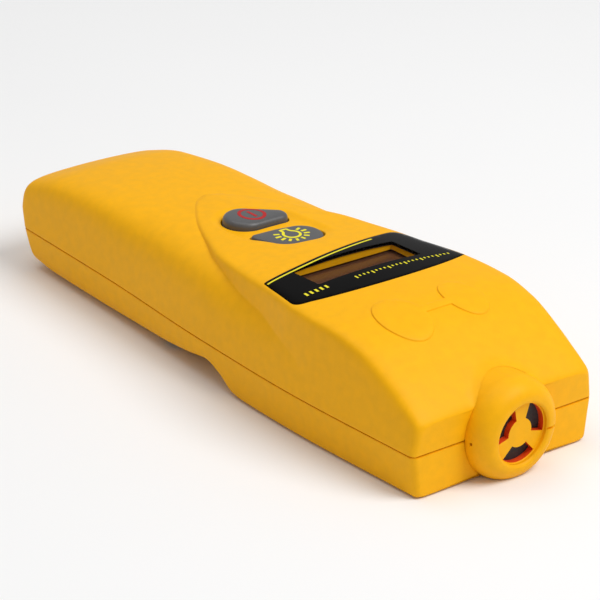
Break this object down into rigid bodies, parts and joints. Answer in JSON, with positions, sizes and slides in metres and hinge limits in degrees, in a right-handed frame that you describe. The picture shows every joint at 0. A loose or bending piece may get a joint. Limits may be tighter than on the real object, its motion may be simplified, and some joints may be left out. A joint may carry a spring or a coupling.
{
  "type": "portable gas detector",
  "caption": "Handheld gas detector with a round sensor nose and grille at one end, a display window, raised keys and a sliding battery cover under the handle.",
  "frame": {"origin": "middle of the underside, at the bottom centre of the bounding box", "axes": "+Y along the case towards the sensor nose, +Z out of the display side, +X to the right of someone who reads the display"},
  "size_m": [0.0584, 0.162, 0.0327],
  "materials": {
    "case_yellow": "fine-grained moulded ABS",
    "sensor_cap": "fine-grained moulded ABS",
    "rubber_grey": "soft matt rubber",
    "lens_black": "polished acrylic",
    "film_black": "printed film",
    "lcd_glass": "grey-green liquid crystal glass",
    "plastic_black": "moulded",
    "plastic_white": "diffusing",
    "silicone": "translucent silicone",
    "zebra": "layered elastomer",
    "board_green": "solder mask over fibreglass",
    "chip_black": "moulded epoxy",
    "capacitor_blue": "sleeved",
    "steel": "zinc plated",
    "gold_pin": "gold plated",
    "filter_dark": "fine mesh",
    "seal_black": "soft",
    "battery_wrap": "lacquered steel jacket",
    "lead_red": "PVC insulation",
    "lead_black": "PVC insulation",
    "foam": "open cell foam"
  },
  "bodies": {
    "body": {"top_case": "case_yellow", "bottom_case": "case_yellow", "sensor_cap": "sensor_cap", "dust_filter": "filter_dark", "sensor_gasket": "seal_black", "sensor_cell": "plastic_white", "sensor_pins": "gold_pin", "sensor_board": "board_green", "display_lens": "lens_black", "display_mask": "film_black", "lcd_glass": "lcd_glass", "lcd_frame": "plastic_black", "lcd_backlight": "plastic_white", "zebra_strip": "zebra", "key_mat": "silicone", "key_switches": "plastic_black", "main_board": "board_green", "processor": "chip_black", "amplifier_chip": "chip_black", "board_capacitors": "capacitor_blue", "crystal": "steel", "buzzer": "plastic_black", "battery": "battery_wrap", "battery_terminals": "steel", "battery_snap": "plastic_black", "red_lead": "lead_red", "black_lead": "lead_black", "foam_pad": "foam", "board_screws": "steel", "case_screws": "steel", "sensor_header": "plastic_black"},
    "power_key": {"power_key": "rubber_grey"},
    "backlight_key": {"backlight_key": "rubber_grey"},
    "battery_cover": {"battery_cover": "case_yellow"}
  },
  "joints": [
    {"name": "power_key_press", "type": "slide", "parent": "body", "child": "power_key", "axis": [0, 0, -1], "range_m": [0, 0.001], "stiffness_N_per_m": 800, "springref_m": -0.0005},
    {"name": "backlight_key_press", "type": "slide", "parent": "body", "child": "backlight_key", "axis": [0, 0, -1], "range_m": [0, 0.001], "stiffness_N_per_m": 800, "springref_m": -0.0005},
    {"name": "battery_cover_slide", "type": "slide", "parent": "body", "child": "battery_cover", "axis": [0, -1, 0], "range_m": [0, 0.056]}
  ]
}
